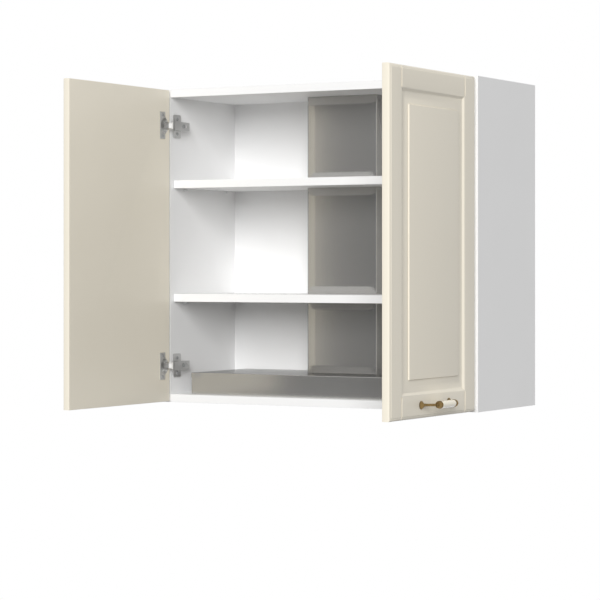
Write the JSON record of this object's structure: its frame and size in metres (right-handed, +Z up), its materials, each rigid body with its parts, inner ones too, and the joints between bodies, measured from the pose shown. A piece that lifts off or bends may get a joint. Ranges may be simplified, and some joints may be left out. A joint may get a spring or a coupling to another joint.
{
  "type": "kitchen wall cabinet",
  "caption": "Wall cabinet with raised-panel doors standing open on linked cup hinges, shelves notched round a steel duct, and a cooker hood built into its floor.",
  "frame": {"origin": "midway between the two wall hook holes, on the wall plane", "axes": "+X to the right seen from the front, +Y towards the wall, +Z up"},
  "size_m": [0.8662, 0.7045, 0.72],
  "materials": {
    "white_board": "chipboard with a white melamine coat, fine even sheen",
    "white_hardboard": "thin hardboard, white on its front",
    "cream_front": "fibreboard wrapped in satin cream foil",
    "beech": "plain beech",
    "zinc": "zinc plated steel",
    "nickel": "nickel plated pressed steel",
    "stainless": "brushed stainless sheet",
    "aluminium_filter": "plain aluminium",
    "grey_plastic": "moulded grey plastic",
    "black_plastic": "moulded black plastic",
    "galvanised": "zinc coated sheet",
    "motor_paint": "black paint",
    "button_plastic": "moulded pale plastic",
    "lamp_glass": "frosted glass",
    "old_brass": "aged brass, dark in the hollows",
    "porcelain": "glazed porcelain"
  },
  "bodies": {
    "carcass": {"side_panel_left": "white_board", "side_panel_right": "white_board", "top_panel": "white_board", "bottom_panel": "white_board", "shelf_lower": "white_board", "shelf_upper": "white_board", "back_panel": "white_hardboard", "carcass_dowels": "beech", "shelf_pegs": "zinc", "hanger_plates": "zinc", "hanger_screws": "zinc", "hinge_plate_screws": "zinc", "arm_screws": "zinc", "hood_screws": "zinc", "hinge_plates": "nickel", "hinge_arms": "nickel", "arm_pins": "nickel", "hood_casing": "stainless", "hood_lid": "stainless", "duct_casing": "stainless", "damper_pin": "stainless", "filter_frame_left": "aluminium_filter", "filter_frame_right": "aluminium_filter", "filter_mesh_left": "aluminium_filter", "filter_mesh_right": "aluminium_filter", "outlet_collar": "grey_plastic", "cable_gland": "grey_plastic", "control_box": "grey_plastic", "fan_plate": "galvanised", "fan_motor": "motor_paint", "lamp_lenses": "lamp_glass"},
    "inner_links_left": {"inner_links_left": "nickel"},
    "outer_links_left": {"outer_links_left": "nickel"},
    "door_left": {"door_left": "cream_front", "handle_posts_left": "old_brass", "handle_rod_left": "old_brass", "handle_grip_left": "porcelain", "handle_screws_left": "zinc", "hinge_cups_left": "nickel", "cup_screws_left": "zinc"},
    "inner_links_right": {"inner_links_right": "nickel"},
    "outer_links_right": {"outer_links_right": "nickel"},
    "door_right": {"door_right": "cream_front", "handle_posts_right": "old_brass", "handle_rod_right": "old_brass", "handle_grip_right": "porcelain", "handle_screws_right": "zinc", "hinge_cups_right": "nickel", "cup_screws_right": "zinc"},
    "button_light": {"button_light": "button_plastic"},
    "button_low": {"button_low": "button_plastic"},
    "button_medium": {"button_medium": "button_plastic"},
    "button_high": {"button_high": "button_plastic"},
    "impeller": {"fan_impeller": "black_plastic"},
    "flap_left": {"damper_flap_left": "grey_plastic"},
    "latch_left": {"filter_latch_left": "grey_plastic"},
    "flap_right": {"damper_flap_right": "grey_plastic"},
    "latch_right": {"filter_latch_right": "grey_plastic"}
  },
  "joints": [
    {"name": "inner_links_left_turn", "type": "hinge", "parent": "carcass", "child": "inner_links_left", "pos_m": [-0.36997, -0.31051, -0.32], "axis": [0, 0, -1], "range_deg": [-1.2, 31.9]},
    {"name": "door_left_turn", "type": "hinge", "parent": "inner_links_left", "child": "door_left", "pos_m": [-0.38634, -0.31811, -0.32], "axis": [0, 0, -1], "range_deg": [-121.84, 4]},
    {"name": "outer_links_left_turn", "type": "hinge", "parent": "carcass", "child": "outer_links_left", "pos_m": [-0.369, -0.30298, -0.32], "axis": [0, 0, -1], "range_deg": [-1.5, 42]},
    {"name": "inner_links_right_turn", "type": "hinge", "parent": "carcass", "child": "inner_links_right", "pos_m": [0.36997, -0.31051, -0.32], "axis": [0, 0, 1], "range_deg": [-1.2, 31.9]},
    {"name": "door_right_turn", "type": "hinge", "parent": "inner_links_right", "child": "door_right", "pos_m": [0.38634, -0.31811, -0.32], "axis": [0, 0, 1], "range_deg": [-121.84, 4]},
    {"name": "outer_links_right_turn", "type": "hinge", "parent": "carcass", "child": "outer_links_right", "pos_m": [0.369, -0.30298, -0.32], "axis": [0, 0, 1], "range_deg": [-1.5, 42]},
    {"name": "button_light_press", "type": "slide", "parent": "carcass", "child": "button_light", "axis": [0, 0, 1], "range_m": [0, 0.002], "stiffness_N_per_m": 300, "springref_m": -0.001},
    {"name": "button_low_press", "type": "slide", "parent": "carcass", "child": "button_low", "axis": [0, 0, 1], "range_m": [0, 0.002], "stiffness_N_per_m": 300, "springref_m": -0.001},
    {"name": "button_medium_press", "type": "slide", "parent": "carcass", "child": "button_medium", "axis": [0, 0, 1], "range_m": [0, 0.002], "stiffness_N_per_m": 300, "springref_m": -0.001},
    {"name": "button_high_press", "type": "slide", "parent": "carcass", "child": "button_high", "axis": [0, 0, 1], "range_m": [0, 0.002], "stiffness_N_per_m": 300, "springref_m": -0.001},
    {"name": "impeller_spin", "type": "hinge", "parent": "carcass", "child": "impeller", "pos_m": [-0.012, -0.084, -0.56], "axis": [0, 0, 1], "continuous": true},
    {"name": "flap_left_lift", "type": "hinge", "parent": "carcass", "child": "flap_left", "pos_m": [-0.012, -0.084, -0.0595], "axis": [0, 1, 0], "range_deg": [0, 75]},
    {"name": "latch_left_slide", "type": "slide", "parent": "carcass", "child": "latch_left", "axis": [0, 1, 0], "range_m": [0, 0.0035], "stiffness_N_per_m": 200, "springref_m": -0.002},
    {"name": "flap_right_lift", "type": "hinge", "parent": "carcass", "child": "flap_right", "pos_m": [-0.012, -0.084, -0.0595], "axis": [0, -1, 0], "range_deg": [0, 75]},
    {"name": "latch_right_slide", "type": "slide", "parent": "carcass", "child": "latch_right", "axis": [0, 1, 0], "range_m": [0, 0.0035], "stiffness_N_per_m": 200, "springref_m": -0.002}
  ],
  "couplings": [
    {"joint": "inner_links_left_turn", "follows": "door_left_turn", "ratio": -0.26136},
    {"joint": "outer_links_left_turn", "follows": "door_left_turn", "ratio": -0.34456},
    {"joint": "inner_links_right_turn", "follows": "door_right_turn", "ratio": -0.26136},
    {"joint": "outer_links_right_turn", "follows": "door_right_turn", "ratio": -0.34456}
  ]
}
